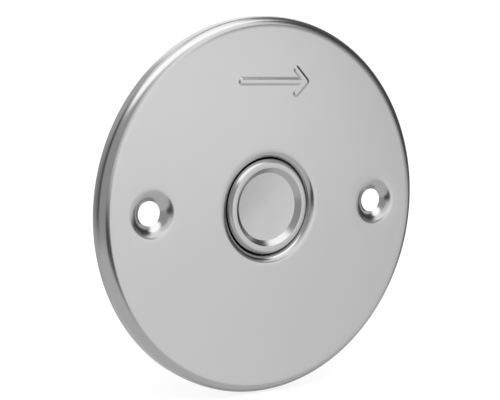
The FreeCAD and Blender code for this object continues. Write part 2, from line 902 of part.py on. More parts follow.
cover_plate()
wall_gasket()
button_cap()
stop_washer()
retaining_clip()
switch_barrel()
seat_gasket()
lock_washer()
barrel_nut()
guide_bush()
stem_o_ring()
contact_housing()
housing_o_ring()
plunger()
contact_bridge()
contact_tips("bridge_tips", BRIDGE_TIP)
contact_tips("fixed_tips", FIXED_TIP)
fixed_contacts()
rear_cover()
terminal_screws()
clamp_washers()
barrel_circlip()
springs()
doc.recompute()

failed = [item.Name for item in doc.Objects if "Invalid" in item.State or "Error" in item.State]
if failed:
    raise RuntimeError(f"failed objects: {failed}")
for node in NODES:
    if node.Shape.isNull() or not node.Shape.isValid() or not node.Shape.Solids:
        raise RuntimeError(f"{node.Label} has no valid solid")

os.makedirs("parts", exist_ok=True)
for node in NODES:
    box = node.Shape.BoundBox
    node.Shape.exportStep(f"parts/{node.Label}.step")
    print(
        f"{node.Label:22s} {len(node.Shape.Solids)} solid(s) {node.Shape.Volume:10.2f} mm3"
        f"  y {box.YMin:7.2f} to {box.YMax:6.2f}  x to {box.XMax:6.2f}  z to {box.ZMax:6.2f}"
    )
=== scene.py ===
# %% [markdown]
# # A metal push button in a round wall plate
#
# The object is a round plate pressed from stainless sheet, with a turned metal button flush in its
# middle and a threaded switch barrel behind it. This lesson dresses the finished CAD model: it
# keeps every size and place, and gives each piece the edges, threads and surfaces that the real
# one has. The axis of everything turned is Y. The front faces -Y and the wall is the plane y = 0.

# %% Load the frame
import json
import math

import bmesh
import bpy
from mathutils import Matrix, Quaternion, Vector
from mathutils.geometry import delaunay_2d_cdt


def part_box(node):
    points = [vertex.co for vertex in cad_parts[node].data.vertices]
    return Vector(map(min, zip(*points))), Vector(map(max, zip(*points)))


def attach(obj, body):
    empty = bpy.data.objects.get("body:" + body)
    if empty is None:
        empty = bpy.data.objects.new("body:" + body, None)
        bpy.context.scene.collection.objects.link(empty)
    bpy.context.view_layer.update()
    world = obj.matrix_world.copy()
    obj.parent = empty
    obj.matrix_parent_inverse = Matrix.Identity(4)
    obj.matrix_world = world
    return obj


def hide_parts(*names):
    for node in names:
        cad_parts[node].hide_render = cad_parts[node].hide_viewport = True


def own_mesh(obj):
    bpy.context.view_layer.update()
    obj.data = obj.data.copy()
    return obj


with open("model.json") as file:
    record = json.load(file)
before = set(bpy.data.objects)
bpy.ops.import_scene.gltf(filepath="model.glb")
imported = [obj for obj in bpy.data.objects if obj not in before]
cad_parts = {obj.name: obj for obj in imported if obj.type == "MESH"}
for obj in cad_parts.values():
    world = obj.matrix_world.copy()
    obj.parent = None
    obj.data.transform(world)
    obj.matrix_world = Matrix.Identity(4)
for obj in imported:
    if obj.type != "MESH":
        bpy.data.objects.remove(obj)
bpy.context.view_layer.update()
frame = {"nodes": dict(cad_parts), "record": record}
MM = 0.001

# %% [markdown]
# Most sizes come from the CAD boxes. `low` and `high` give one side of a node's box in
# millimetres, so a profile can be written in the same unit as a workshop drawing.

# %% Sizes from the frame


def low(node, axis):
    """Lowest X, Y or Z of a CAD node, in millimetres."""
    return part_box(node)[0]["XYZ".index(axis)] / MM


def high(node, axis):
    """Highest X, Y or Z of a CAD node, in millimetres."""
    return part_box(node)[1]["XYZ".index(axis)] / MM


RIM_DEPTH = 4.5
FACE = -RIM_DEPTH
print("plate radius", round(high("cover_plate", "X"), 2))
print("barrel end", round(high("switch_barrel", "Y"), 2))

# %% [markdown]
# ## Helpers for node trees
#
# Every material and every Geometry Nodes tree is made with one small function. It adds a node,
# sets its properties, and fills or links its inputs, so a tree reads as a list of steps.

# %% Add a node


def add(tree, kind, inputs=None, **settings):
    """Add a node, with its settings and inputs; a node as an input stands for its first output."""
    node = tree.nodes.new(kind)
    for name, value in settings.items():
        setattr(node, name, value)
    for key, value in (inputs or {}).items():
        if isinstance(value, bpy.types.Node):
            value = next(output for output in value.outputs if output.enabled)
        if isinstance(value, bpy.types.NodeSocket):
            tree.links.new(value, node.inputs[key])
        else:
            node.inputs[key].default_value = value
    return node


def linear(hex_colour):
    """An sRGB hex colour as linear red, green, blue and alpha."""
    parts = [int(hex_colour[i : i + 2], 16) / 255 for i in (1, 3, 5)]
    return [c / 12.92 if c <= 0.04045 else ((c + 0.055) / 1.055) ** 2.4 for c in parts] + [1.0]


# %% [markdown]
# ## The camera
#
# The camera looks at the plate from the left and a little above, through a long lens, so the
# round plate is only slightly narrowed. It is aimed by its three angles, as on a tripod head.

# %% Camera
VIEW_YAW = math.radians(34.658)
VIEW_PITCH = math.radians(6.978)
VIEW_ROLL = math.radians(1.407)
CAMERA_PLACE = Vector((-201.5, FACE - 282.4, 44.2)) * MM

camera = bpy.data.objects.new("camera", bpy.data.cameras.new("camera"))
bpy.context.scene.collection.objects.link(camera)
bpy.context.scene.camera = camera
camera.data.lens = 97.5
camera.data.sensor_width = 36.0
camera.data.clip_start = 0.01
camera.data.clip_end = 20.0
flat_view = Vector((math.sin(VIEW_YAW), math.cos(VIEW_YAW), 0)) * math.cos(VIEW_PITCH)
aim = flat_view - Vector((0, 0, math.sin(VIEW_PITCH)))
camera.rotation_mode = "QUATERNION"
camera.rotation_quaternion = aim.to_track_quat("-Z", "Y") @ Quaternion((0, 0, 1), VIEW_ROLL)
camera.location = CAMERA_PLACE
print("camera stands", round(CAMERA_PLACE.length, 3), "m from the plate")

# %% [markdown]
# ## The studio
#
# Satin steel has almost no colour of its own: what it shows is the room, blurred. So the studio is
# made first, like a real product table: a pale floor just under the rim, bright panels above and
# in front, a white wall behind, and black flags that put dark lines into the bends of the metal.
# All of it but the floor is a world shader, placed by bearing and height in degrees. Bearing 0
# is straight in front of the plate, and bearings grow towards its right side.

# %% Floor
FLOOR_SIZE = 6.0
FLOOR_GAP = 0.2
floor_mesh = bpy.data.meshes.new("floor")
floor_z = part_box("cover_plate")[0].z - FLOOR_GAP * MM
floor_reach = FLOOR_SIZE / 2
sides = ((-1, -1), (1, -1), (1, 1), (-1, 1))
corners = [(x * floor_reach, y * floor_reach, floor_z) for x, y in sides]
floor_mesh.from_pydata(corners, [], [(0, 1, 2, 3)])
floor = bpy.data.objects.new("floor", floor_mesh)
bpy.context.scene.collection.objects.link(floor)
floor.visible_glossy = False
print("floor at", round(floor_z / MM, 2), "mm")

# %% [markdown]
# The floor is there to be seen and to take a soft shadow. Mirror rays pass it by, because the room
# below holds its own grey table, which the metal shows instead.

# %% Paper sweep
paper = bpy.data.materials.new("matt_paper_sweep")
paper.use_nodes = True
paper_tree = paper.node_tree
paper_shader = paper_tree.nodes["Principled BSDF"]
paper_shader.inputs["Roughness"].default_value = 0.9
paper_shader.inputs["Specular IOR Level"].default_value = 0.0
paper_shader.inputs["Base Color"].default_value = linear("#A2A2A1")
paper_shader.inputs["Emission Color"].default_value = (1, 1, 1, 1)
paper_shader.inputs["Emission Strength"].default_value = 0.78
floor_mesh.materials.append(paper)

# %% Room
ROOM_GREY = 0.42
PANELS = {
    # name: (bearing from, bearing to, height from, height to, soft edge, brightness)
    "table": (-200, 200, -100, -20, 10, 0.64),
    "table, right": (76, 144, -100, -34, 16, 0.45),
    "table, front right": (10, 62, -24, -2, 12, 0.99),
    "table, far front right": (37, 62, -24, -2, 12, 0.80),
    "wall behind": (124, 200, -25, 48, 8, 1.15),
    "wall behind, far side": (-200, -148, -30, 46, 8, 0.56),
    "dark behind left": (-147, -112, -12, 36, 10, 0.13),
    "table front": (-32, 14, -22, -6, 8, 0.04),
    "front panel, left": (-14, 12, -2, 50, 10, 0.85),
    "front panel": (8, 40, -6, 50, 8, 1.19),
    "overhead": (-110, 62, 44, 100, 12, 1.7),
    "overhead, back": (-200, -108, 48, 100, 10, 1.1),
    "overhead, right": (60, 200, 64, 100, 12, 1.4),
    "flag, right": (74, 122, -16, 62, 8, 0.12),
    "flag, front right": (44, 80, -4, 46, 8, 0.06),
    "bar, front": (28, 60, 5, 14, 5, 0.25),
}
world = bpy.data.worlds.new("studio")
bpy.context.scene.world = world
world.use_nodes = True
room = world.node_tree
room.nodes.clear()
towards = add(room, "ShaderNodeTexCoord").outputs["Generated"]
part = add(room, "ShaderNodeSeparateXYZ", {0: towards})
to_front = add(room, "ShaderNodeMath", {0: part.outputs["Y"], 1: -1.0}, operation="MULTIPLY")
bearing = add(room, "ShaderNodeMath", {0: part.outputs["X"], 1: to_front}, operation="ARCTAN2")
height = add(room, "ShaderNodeMath", {0: part.outputs["Z"]}, operation="ARCSINE")


def soft_band(angle, start, end, soft):
    """1 between two angles and 0 outside, with soft edges, as a node output."""
    middle, half = math.radians(start + end) / 2, math.radians(end - start) / 2
    away = add(room, "ShaderNodeMath", {0: angle, 1: middle}, operation="SUBTRACT")
    size = add(room, "ShaderNodeMath", {0: away.outputs[0]}, operation="ABSOLUTE")
    edge = math.radians(soft) / 2
    limits = {"Value": size.outputs[0], "From Min": half + edge, "From Max": half - edge}
    return add(room, "ShaderNodeMapRange", limits, interpolation_type="SMOOTHSTEP").outputs["Result"]


glow = ROOM_GREY
for name, (left, right, bottom, top, soft, brightness) in PANELS.items():
    across = soft_band(bearing.outputs[0], left, right, soft)
    up = soft_band(height.outputs[0], bottom, top, soft)
    covered = add(room, "ShaderNodeMath", {0: across, 1: up}, operation="MULTIPLY")
    painted = add(room, "ShaderNodeMix", {0: covered, 2: glow, 3: brightness}, label=name)
    glow = painted.outputs[0]
seen = add(room, "ShaderNodeLightPath").outputs["Is Camera Ray"]
room_light = add(room, "ShaderNodeBackground", {"Color": glow})
white_wall = add(room, "ShaderNodeBackground", {"Color": (1, 1, 1, 1), "Strength": 1.1})
both = add(room, "ShaderNodeMixShader", {0: seen, 1: room_light, 2: white_wall})
add(room, "ShaderNodeOutputWorld", {"Surface": both.outputs[0]})
bpy.context.scene.view_settings.view_transform = "Standard"
print("studio panels:", ", ".join(PANELS))

# %% [markdown]
# ## Finishes
#
# Each material is named for the real stuff and the way its surface was made. Metals are fully
# metallic and keep the default index of refraction; what sets them apart is colour, roughness and
# the marks of the tool. Patterns read Object coordinates in metres, so a scale of
# `1 / size in metres` gives grains of a real size.

# %% Bare metals
PATCH = 40  # the slow drift of shade is this many grains wide
NOISE_LOW, NOISE_HIGH = 0.3, 0.7  # most of a noise texture lies between these
TURNED_STRETCH = 0.5
WAVE_LENGTH = 9.0


def metal(name, colours, roughness, grain_mm, bump_mm, wave_mm=0.0, turned=False):
    """A bare metal; a turned one has its grain in rings round the Y axis."""
    material = bpy.data.materials.new(name)
    material.use_nodes = True
    tree = material.node_tree
    shader = tree.nodes["Principled BSDF"]
    shader.inputs["Base Color"].default_value = linear(colours[0])
    shader.inputs["Metallic"].default_value = 1.0
    shader.inputs["Roughness"].default_value = roughness[0]
    place = add(tree, "ShaderNodeTexCoord").outputs["Object"]

    wide = {"Vector": place, "Scale": 1 / (grain_mm * PATCH * MM)}
    patches = add(tree, "ShaderNodeTexNoise", wide)
    shade = {0: patches, 6: linear(colours[0]), 7: linear(colours[1])}
    tone = add(tree, "ShaderNodeMix", shade, data_type="RGBA", blend_type="MIX")
    tree.links.new(tone.outputs[2], shader.inputs["Base Color"])

    if turned:
        across = add(tree, "ShaderNodeVectorMath", {0: place, 1: (1, 0, 1)}, operation="MULTIPLY")
        radius = add(tree, "ShaderNodeVectorMath", {0: across}, operation="LENGTH").outputs["Value"]
        rings = {"W": radius, "Scale": 1 / (grain_mm * MM), "Detail": 3.0}
        grain = add(tree, "ShaderNodeTexNoise", rings, noise_dimensions="1D")
        spin = {0: place, 1: (0, 1, 0)}
        around = add(tree, "ShaderNodeVectorMath", spin, operation="CROSS_PRODUCT")
        shader.inputs["Anisotropic"].default_value = TURNED_STRETCH
        tree.links.new(around.outputs[0], shader.inputs["Tangent"])
    else:
        specks = {"Vector": place, "Scale": 1 / (grain_mm * MM), "Detail": 3.0}
        grain = add(tree, "ShaderNodeTexNoise", specks)
    limits = {"Value": grain, "From Min": NOISE_LOW, "From Max": NOISE_HIGH}
    limits.update({"To Min": roughness[0], "To Max": roughness[1]})
    rough = add(tree, "ShaderNodeMapRange", limits)
    tree.links.new(rough.outputs["Result"], shader.inputs["Roughness"])

    relief = add(tree, "ShaderNodeBump", {"Height": grain.outputs[0], "Distance": bump_mm * MM})
    if wave_mm:
        long = {"Vector": place, "Scale": 1 / (WAVE_LENGTH * MM), "Detail": 1.0}
        wave = add(tree, "ShaderNodeTexNoise", long)
        swell = {"Height": wave.outputs[0], "Distance": wave_mm * MM, "Normal": relief.outputs[0]}
        relief = add(tree, "ShaderNodeBump", swell)
    tree.links.new(relief.outputs["Normal"], shader.inputs["Normal"])
    return material


# %% Moulded plastics and rubbers


def moulded(name, colours, roughness, grain_mm, bump_mm):
    """A moulded plastic or rubber, whose skin copies the fine grain of the mould."""
    material = bpy.data.materials.new(name)
    material.use_nodes = True
    tree = material.node_tree
    shader = tree.nodes["Principled BSDF"]
    shader.inputs["Base Color"].default_value = linear(colours[0])
    shader.inputs["Roughness"].default_value = roughness[0]
    place = add(tree, "ShaderNodeTexCoord").outputs["Object"]

    wide = {"Vector": place, "Scale": 1 / (grain_mm * PATCH * MM)}
    patches = add(tree, "ShaderNodeTexNoise", wide)
    shade = {0: patches, 6: linear(colours[0]), 7: linear(colours[1])}
    tone = add(tree, "ShaderNodeMix", shade, data_type="RGBA", blend_type="MIX")
    tree.links.new(tone.outputs[2], shader.inputs["Base Color"])

    pores = {"Vector": place, "Scale": 1 / (grain_mm * MM), "Detail": 2.0}
    skin = add(tree, "ShaderNodeTexNoise", pores)
    limits = {"Value": skin, "From Min": NOISE_LOW, "From Max": NOISE_HIGH}
    limits.update({"To Min": roughness[0], "To Max": roughness[1]})
    rough = add(tree, "ShaderNodeMapRange", limits)
    tree.links.new(rough.outputs["Result"], shader.inputs["Roughness"])
    relief = add(tree, "ShaderNodeBump", {"Height": skin.outputs[0], "Distance": bump_mm * MM})
    tree.links.new(relief.outputs["Normal"], shader.inputs["Normal"])
    return material


# %% The thirteen finishes
# Each line gives a name, two colours, two roughnesses, the grain and the bump in millimetres. The
# plate's line also gives the height of its swell.
METALS = (
    # Pressed 304 sheet, blasted with fine glass beads: an even, milky grey that blurs the room,
    # with a faint swell from the press.
    ("blasted_stainless", ("#C7C7C7", "#C9C9C9"), (0.19, 0.21), 0.15, 0.0001, 0.008),
    # 303 bar faced on a lathe: fine rings that stretch each highlight across them.
    ("turned_stainless", ("#C1C1C1", "#C6C6C6"), (0.17, 0.22), 0.3, 0.0003, 0.0, True),
    # The same bar with the thread cut and left plain: darker, with glints on the crests.
    ("barrel_stainless", ("#A9AAAC", "#B2B3B4"), (0.24, 0.34), 0.3, 0.001),
    # Steel with a thin bright nickel plate: a slightly warm, softer shine.
    ("plated_steel", ("#B5B4AE", "#C0BFB8"), (0.25, 0.34), 0.3, 0.001),
    # Drawn spring wire: dark grey, smooth along its length.
    ("spring_steel", ("#8C8D90", "#9A9B9D"), (0.25, 0.35), 0.2, 0.0005),
    # Silver alloy tips: nearly white, and dull from coining.
    ("silver_contact", ("#DDDBD4", "#E4E2DC"), (0.3, 0.4), 0.1, 0.0005),
    # Rolled brass strip: yellow with a satin roll finish.
    ("brass_strip", ("#C9A457", "#D2AF63"), (0.28, 0.38), 0.2, 0.0005),
    # Rolled phosphor bronze strip: a redder, springy metal.
    ("bronze_strip", ("#BE8757", "#C89264"), (0.28, 0.38), 0.2, 0.0005),
)
PLASTICS = (
    # Cured EPDM sheet: matt black that takes no clear highlight.
    ("black_epdm", ("#1C1C1D", "#242425"), (0.62, 0.75), 0.25, 0.01),
    # Moulded nitrile rubber: blacker and smoother, with a soft line of light along a ring.
    ("black_nbr", ("#161617", "#1C1C1D"), (0.4, 0.5), 0.15, 0.004),
    # Moulded PBT with glass fibre: charcoal with a fine spark-eroded grain.
    ("black_pbt", ("#1E1F20", "#26272A"), (0.5, 0.62), 0.2, 0.008),
    # The same plastic in green, the usual colour of a closing contact: a little glossier.
    ("green_pbt", ("#2E8A4A", "#379352"), (0.4, 0.5), 0.2, 0.006),
    # Acetal: a waxy off-white.
    ("white_pom", ("#E4E3DD", "#EBEAE5"), (0.35, 0.45), 0.2, 0.004),
)
FINISHES = {entry[0]: metal(*entry) for entry in METALS}
FINISHES.update({entry[0]: moulded(*entry) for entry in PLASTICS})
print(len(FINISHES), "finishes:", ", ".join(FINISHES))

# %% A finish on every CAD node
slots = {entry["node"]: entry["material_slot"] for entry in frame["record"]["subparts"]}
for node, obj in frame["nodes"].items():
    obj.data.materials.clear()
    obj.data.materials.append(FINISHES[slots[node]])
print(len(slots), "nodes have a finish")

# %% [markdown]
# ## Turning a profile
#
# Most pieces are turned on a lathe, so one Geometry Nodes tree makes them all. It lays out a grid
# with one column for each step of the turn, gives each column the points of the profile, and
# swings the column round the Y axis. Profiles are drawn as on paper: radius and depth in
# millimetres, and a third number where the corner is rounded.

# %% Sockets of a tree


def declare(tree, result, **sockets):
    """Give a Geometry Nodes tree its named inputs and its one output."""
    for name, kind in sockets.items():
        plain_name = name.replace("_", " ")
        tree.interface.new_socket(plain_name, in_out="INPUT", socket_type="NodeSocket" + kind)
    tree.interface.new_socket(result, in_out="OUTPUT", socket_type="NodeSocketGeometry")


# %% Lathe tree
WELD = 0.0005 * MM

lathe_tree = bpy.data.node_groups.new("lathe", "GeometryNodeTree")
declare(lathe_tree, "Turned", Profile="Geometry", Segments="Int", Material="Material")
given = add(lathe_tree, "NodeGroupInput").outputs
rows = add(lathe_tree, "GeometryNodeAttributeDomainSize", {0: given["Profile"]}).outputs["Point Count"]
columns = add(lathe_tree, "ShaderNodeMath", {0: given["Segments"], 1: 1.0}, operation="ADD")
sheet = add(lathe_tree, "GeometryNodeMeshGrid", {"Vertices X": columns, "Vertices Y": rows})
number = add(lathe_tree, "GeometryNodeInputIndex").outputs[0]
row = add(lathe_tree, "ShaderNodeMath", {0: number, 1: rows}, operation="MODULO")
share = add(lathe_tree, "ShaderNodeMath", {0: number, 1: rows}, operation="DIVIDE")
column = add(lathe_tree, "ShaderNodeMath", {0: share}, operation="FLOOR")
turned_share = {0: column, 1: given["Segments"]}
turned_by = add(lathe_tree, "ShaderNodeMath", turned_share, operation="DIVIDE")
swing = add(lathe_tree, "ShaderNodeMath", {0: turned_by, 1: math.tau}, operation="MULTIPLY")
drawn = add(lathe_tree, "GeometryNodeInputPosition")
wanted = {"Geometry": given["Profile"], "Index": row}
picked = add(lathe_tree, "GeometryNodeSampleIndex", wanted, data_type="FLOAT_VECTOR")
lathe_tree.links.new(drawn.outputs[0], picked.inputs["Value"])
arm = {"Vector": picked.outputs[0], "Angle": swing, "Axis": (0, 1, 0)}
swung = add(lathe_tree, "ShaderNodeVectorRotate", arm, rotation_type="AXIS_ANGLE")
placed = add(lathe_tree, "GeometryNodeSetPosition", {"Geometry": sheet, "Position": swung})
welded = add(lathe_tree, "GeometryNodeMergeByDistance", {"Geometry": placed, "Distance": WELD})
real = add(lathe_tree, "GeometryNodeRealizeInstances", {"Geometry": welded})
coated = add(lathe_tree, "GeometryNodeSetMaterial", {"Geometry": real, "Material": given["Material"]})
add(lathe_tree, "NodeGroupOutput", {0: coated})
print("lathe tree:", len(lathe_tree.nodes), "nodes")

# %% Run a tree and keep the plain mesh


def run_tree(obj, tree, **values):
    """Run a Geometry Nodes tree on an object and give it the plain mesh that comes out."""
    modifier = obj.modifiers.new(tree.name, "NODES")
    modifier.node_group = tree
    sockets = {item.name.replace(" ", "_"): item.identifier for item in tree.interface.items_tree}
    for name, value in values.items():
        modifier[sockets[name]] = value
    bake_modifiers(obj)


def bake_modifiers(obj):
    """Replace an object's mesh by what its modifiers make of it, and remove them."""
    graph = bpy.context.evaluated_depsgraph_get()
    graph.update()
    made = bpy.data.meshes.new_from_object(obj.evaluated_get(graph), depsgraph=graph)
    obj.modifiers.clear()
    obj.data = made


def new_object(name, vertices, edges=()):
    """An object at the origin with its place in its mesh; the numbers are millimetres."""
    mesh = bpy.data.meshes.new(name)
    mesh.from_pydata([Vector(v) * MM for v in vertices], list(edges), [])
    obj = bpy.data.objects.new(name, mesh)
    bpy.context.scene.collection.objects.link(obj)
    return obj


# %% Settle a piece in its place
SHARP = math.radians(38)


def settle(obj, body, node):
    """Close and smooth a piece, give it its finish, and let it ride in place of its CAD node."""
    shape = bmesh.new()
    shape.from_mesh(obj.data)
    bmesh.ops.remove_doubles(shape, verts=shape.verts, dist=WELD)
    bmesh.ops.dissolve_degenerate(shape, edges=shape.edges, dist=WELD / 10)
    open_edges = sum(not edge.is_manifold for edge in shape.edges)
    if shape.calc_volume(signed=True) < 0:
        bmesh.ops.reverse_faces(shape, faces=shape.faces)
    shape.to_mesh(obj.data)
    count = len(shape.faces)
    shape.free()
    obj.data.shade_smooth()
    obj.data.set_sharp_from_angle(angle=SHARP)
    obj.data.materials.clear()
    obj.data.materials.append(FINISHES[slots[node]])
    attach(obj, body)
    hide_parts(node)
    print(f"{obj.name}: {count} faces, {open_edges} open edges")


# %% Draw a rounded profile
ARC_STEPS = 6


def rounded(corners, closed=False):
    """Points of an outline whose corners (radius, depth, rounding) are replaced by arcs."""
    points = []
    count = len(corners)
    for i, corner in enumerate(corners):
        here = Vector(corner[:2])
        bend = corner[2] if len(corner) > 2 else 0
        inner = closed or 0 < i < count - 1
        if not bend or not inner:
            points.append(here)
            continue
        before = (Vector(corners[i - 1][:2]) - here).normalized()
        after = (Vector(corners[(i + 1) % count][:2]) - here).normalized()
        half = before.angle(after) / 2
        reach = bend / math.tan(half)
        centre = here + (before + after).normalized() * bend / math.sin(half)
        start, end = here + before * reach - centre, here + after * reach - centre
        sweep = start.angle_signed(end)
        steps = max(2, round(ARC_STEPS * abs(sweep) / (math.pi / 2)))
        for k in range(steps + 1):
            points.append(centre + Matrix.Rotation(-sweep * k / steps, 2) @ start)
    if closed:
        points.append(points[0])
    return points


def turned(name, corners, node, segments=128, closed=True):
    """Turn a rounded profile into a piece with the finish of a CAD node."""
    points = [(p.x, p.y, 0) for p in rounded(corners, closed)]
    chain = [(i, i + 1) for i in range(len(points) - 1)]
    obj = new_object(name, points, chain)
    run_tree(obj, lathe_tree, Segments=segments, Material=FINISHES[slots[node]])
    return obj


# %% [markdown]
# ## The button cap
#
# The cap is one turned piece: a wide outer chamfer, a flat ring, an inner chamfer and a sunk disc,
# with the stem behind. The lathe leaves each edge a hair rounded, and that hair is what
# catches the light, so every corner of the profile has a small radius.

# %% Button cap
EDGE = 0.10
GAP_TRIM = 0.12  # the cap is this much wider than its CAD node, so that the gap round it looks fine
CAP_RADIUS = high("button_cap", "X") + GAP_TRIM
CAP_CHAMFER = 1.05
RING_OUTER, RING_INNER = 11.6, 10.2
DISC_RADIUS, DISC_DEPTH = 8.85, 1.2
SEAT_RADIUS, SEAT_DEPTH = 7.0, 0.5
STEM_RADIUS, GROOVE_RADIUS = 4.0, 3.2
cap_back = FACE + 3.2
seat = cap_back - SEAT_DEPTH
clip_front, clip_rear = low("retaining_clip", "Y"), high("retaining_clip", "Y")
stem_end = high("button_cap", "Y")
button = turned(
    "button",
    [
        (0, FACE + DISC_DEPTH),
        (DISC_RADIUS, FACE + DISC_DEPTH, 0.12),
        (RING_INNER, FACE, EDGE),
        (RING_OUTER, FACE, EDGE),
        (CAP_RADIUS, FACE + CAP_CHAMFER, 0.15),
        (CAP_RADIUS, cap_back, 0.3),
        (SEAT_RADIUS, cap_back, 0.2),
        (SEAT_RADIUS, seat, 0.1),
        (STEM_RADIUS, seat, 0.2),
        (STEM_RADIUS, clip_front, 0.05),
        (GROOVE_RADIUS, clip_front, 0.05),
        (GROOVE_RADIUS, clip_rear, 0.05),
        (STEM_RADIUS, clip_rear, 0.05),
        (STEM_RADIUS, stem_end, 0.5),
        (0, stem_end),
    ],
    "button_cap",
    segments=192,
    closed=False,
)
settle(button, "button", "button_cap")

# %% [markdown]
# ## The cover plate
#
# The plate is one pressed sheet, so it is built as a sheet: first only its front skin, then a
# Solidify modifier gives it the thickness of the metal. The flat part is drawn from rings
# round each feature, and a Delaunay fill joins the rings with clean triangles. Rim and collar are
# further rings that walk round the bends. Each point then sinks or rises by a rule: the dish
# round a screw hole is a cone with a rounded mouth, and the arrow is a soft-edged ridge.

# %% Plate sizes
SHEET = 1.2
RIM_BEND = 2.4
LIP_BEND = 2.2
CUP_RADIUS = 12.6
CUP_CORNER = 0.6
CUP_FLOOR = high("seat_gasket", "Y")
FLOOR_HOLE = 11.1
SCREW_SIDE = 35.0
SCREW_HOLE = 3.1
DISH_DEPTH = 1.82
DISH_SLOPE = math.radians(43)
DISH_BEND = 4.4
PLATE_RADIUS = round(high("cover_plate", "X"), 3)
RIM_STEPS = 384
LIP_STEPS = 192
DISH_STEPS = 96
print("plate radius", PLATE_RADIUS, "cup floor at", round(CUP_FLOOR, 2))


def dish_sink(s):
    """How far the sheet sinks at a distance from a screw hole's axis."""
    mouth = SCREW_HOLE + DISH_DEPTH / math.tan(DISH_SLOPE)
    reach = DISH_BEND * math.tan(DISH_SLOPE / 2)
    if s >= mouth + reach:
        return 0.0
    if s <= mouth - reach * math.cos(DISH_SLOPE):
        return (mouth - s) * math.tan(DISH_SLOPE)
    return DISH_BEND - math.sqrt(DISH_BEND**2 - (mouth + reach - s) ** 2)


# %% [markdown]
# The raised mark is a plain arrow, as on push buttons that can be read by touch. Its height falls
# off smoothly from the middle line of each stroke, because a pressed ridge has no sharp edge.

# %% Raised arrow
MARK_SIDE, MARK_UP = 0.35, 32.4
MARK_LENGTH, MARK_HEIGHT, MARK_STROKE = 21.5, 7.5, 1.5
MARK_RELIEF = 0.3
MARK_SOFT = 0.6
tail = Vector((MARK_SIDE - MARK_LENGTH / 2 + MARK_STROKE / 2, MARK_UP))
tip = Vector((MARK_SIDE + MARK_LENGTH / 2 - MARK_STROKE / 2, MARK_UP))
wing = (MARK_HEIGHT - MARK_STROKE) / 2
STROKES = [(tail, tip), (tip, tip + Vector((-wing, wing))), (tip, tip + Vector((-wing, -wing)))]


def arrow_rise(x, z):
    """How far the sheet rises at a place on the face."""
    place = Vector((x, z))
    nearest = 100.0
    for start, end in STROKES:
        along = max(0.0, min(1.0, (place - start).dot(end - start) / (end - start).length_squared))
        nearest = min(nearest, (place - start.lerp(end, along)).length)
    t = (MARK_STROKE / 2 + MARK_SOFT / 2 - nearest) / MARK_SOFT
    t = max(0.0, min(1.0, t))
    return MARK_RELIEF * t * t * (3 - 2 * t)


# %% Points of the flat part
face_points = []
face_rings = []


def ring_places(centre_x, radius, steps):
    """Places round a circle on the face."""
    turn = [math.tau * i / steps for i in range(steps)]
    return [Vector((centre_x + radius * math.cos(a), radius * math.sin(a))) for a in turn]


def lay_ring(centre_x, radius, steps, edge=False):
    """Add a ring of points; an edge ring is also a border of the flat part."""
    start = len(face_points)
    face_points.extend(ring_places(centre_x, radius, steps))
    if edge:
        face_rings.append(range(start, start + steps))
    return range(start, start + steps)


DISH_RING_GAP, DISH_RINGS = 0.2, 18
EDGE_RING_GAP, EDGE_RINGS = 0.8, 3
flat_edge = PLATE_RADIUS - RIM_BEND
lip_edge = CUP_RADIUS + LIP_BEND
outer_ring = lay_ring(0, flat_edge, RIM_STEPS, edge=True)
collar_ring = lay_ring(0, lip_edge, LIP_STEPS, edge=True)
for side in (-1, 1):
    lay_ring(side * SCREW_SIDE, SCREW_HOLE, DISH_STEPS, edge=True)
    for k in range(1, DISH_RINGS + 1):
        lay_ring(side * SCREW_SIDE, SCREW_HOLE + DISH_RING_GAP * k, DISH_STEPS)
for k in range(1, EDGE_RINGS + 1):
    lay_ring(0, flat_edge - EDGE_RING_GAP * k, RIM_STEPS // 2)
    lay_ring(0, lip_edge + EDGE_RING_GAP * k, LIP_STEPS // 2)

# %% Fine points under the arrow
MARK_GRID = 0.16
MARK_MARGIN = 1.0
columns_needed = int((MARK_LENGTH + 2 * MARK_MARGIN) / MARK_GRID)
rows_needed = int((MARK_HEIGHT + 2 * MARK_MARGIN) / MARK_GRID)
for i in range(columns_needed + 1):
    for j in range(rows_needed + 1):
        x = MARK_SIDE + (i - columns_needed / 2) * MARK_GRID
        face_points.append(Vector((x, MARK_UP + (j - rows_needed / 2) * MARK_GRID)))

# %% Coarse points on the plain face
FILL = 3.0
ROW_RISE = FILL * 0.866  # rows of equal triangles
EDGE_CLEAR, DISH_CLEAR, MARK_CLEAR = 3.4, 7.4, 2.0
HOLE_CENTRES = [Vector((side * SCREW_SIDE, 0)) for side in (-1, 1)]
reach_across = int(PLATE_RADIUS / FILL) + 1
reach_up = int(PLATE_RADIUS / ROW_RISE) + 1


def is_plain(place):
    """Whether a place on the face is clear of the mark, the dishes, the rim and the collar."""
    beside_mark = abs(place.x - MARK_SIDE) >= MARK_LENGTH / 2 + MARK_CLEAR
    above_or_below = abs(place.y - MARK_UP) >= MARK_HEIGHT / 2 + MARK_CLEAR
    to_hole = min((place - centre).length for centre in HOLE_CENTRES)
    on_flat = lip_edge + EDGE_CLEAR < place.length < flat_edge - EDGE_CLEAR
    return (beside_mark or above_or_below) and to_hole >= DISH_CLEAR and on_flat


for i in range(-reach_across, reach_across + 1):
    for j in range(-reach_up, reach_up + 1):
        place = Vector(((i + j % 2 / 2) * FILL, j * ROW_RISE))
        if is_plain(place):
            face_points.append(place)
print(len(face_points), "points on the flat part")

# %% Front skin
borders = [(r[i], r[(i + 1) % len(r)]) for r in face_rings for i in range(len(r))]
filled = delaunay_2d_cdt(face_points, borders, [], 0, 1e-5)
flat_places, flat_faces, sources = filled[0], filled[2], filled[3]
where = {source: i for i, group in enumerate(sources) for source in group}

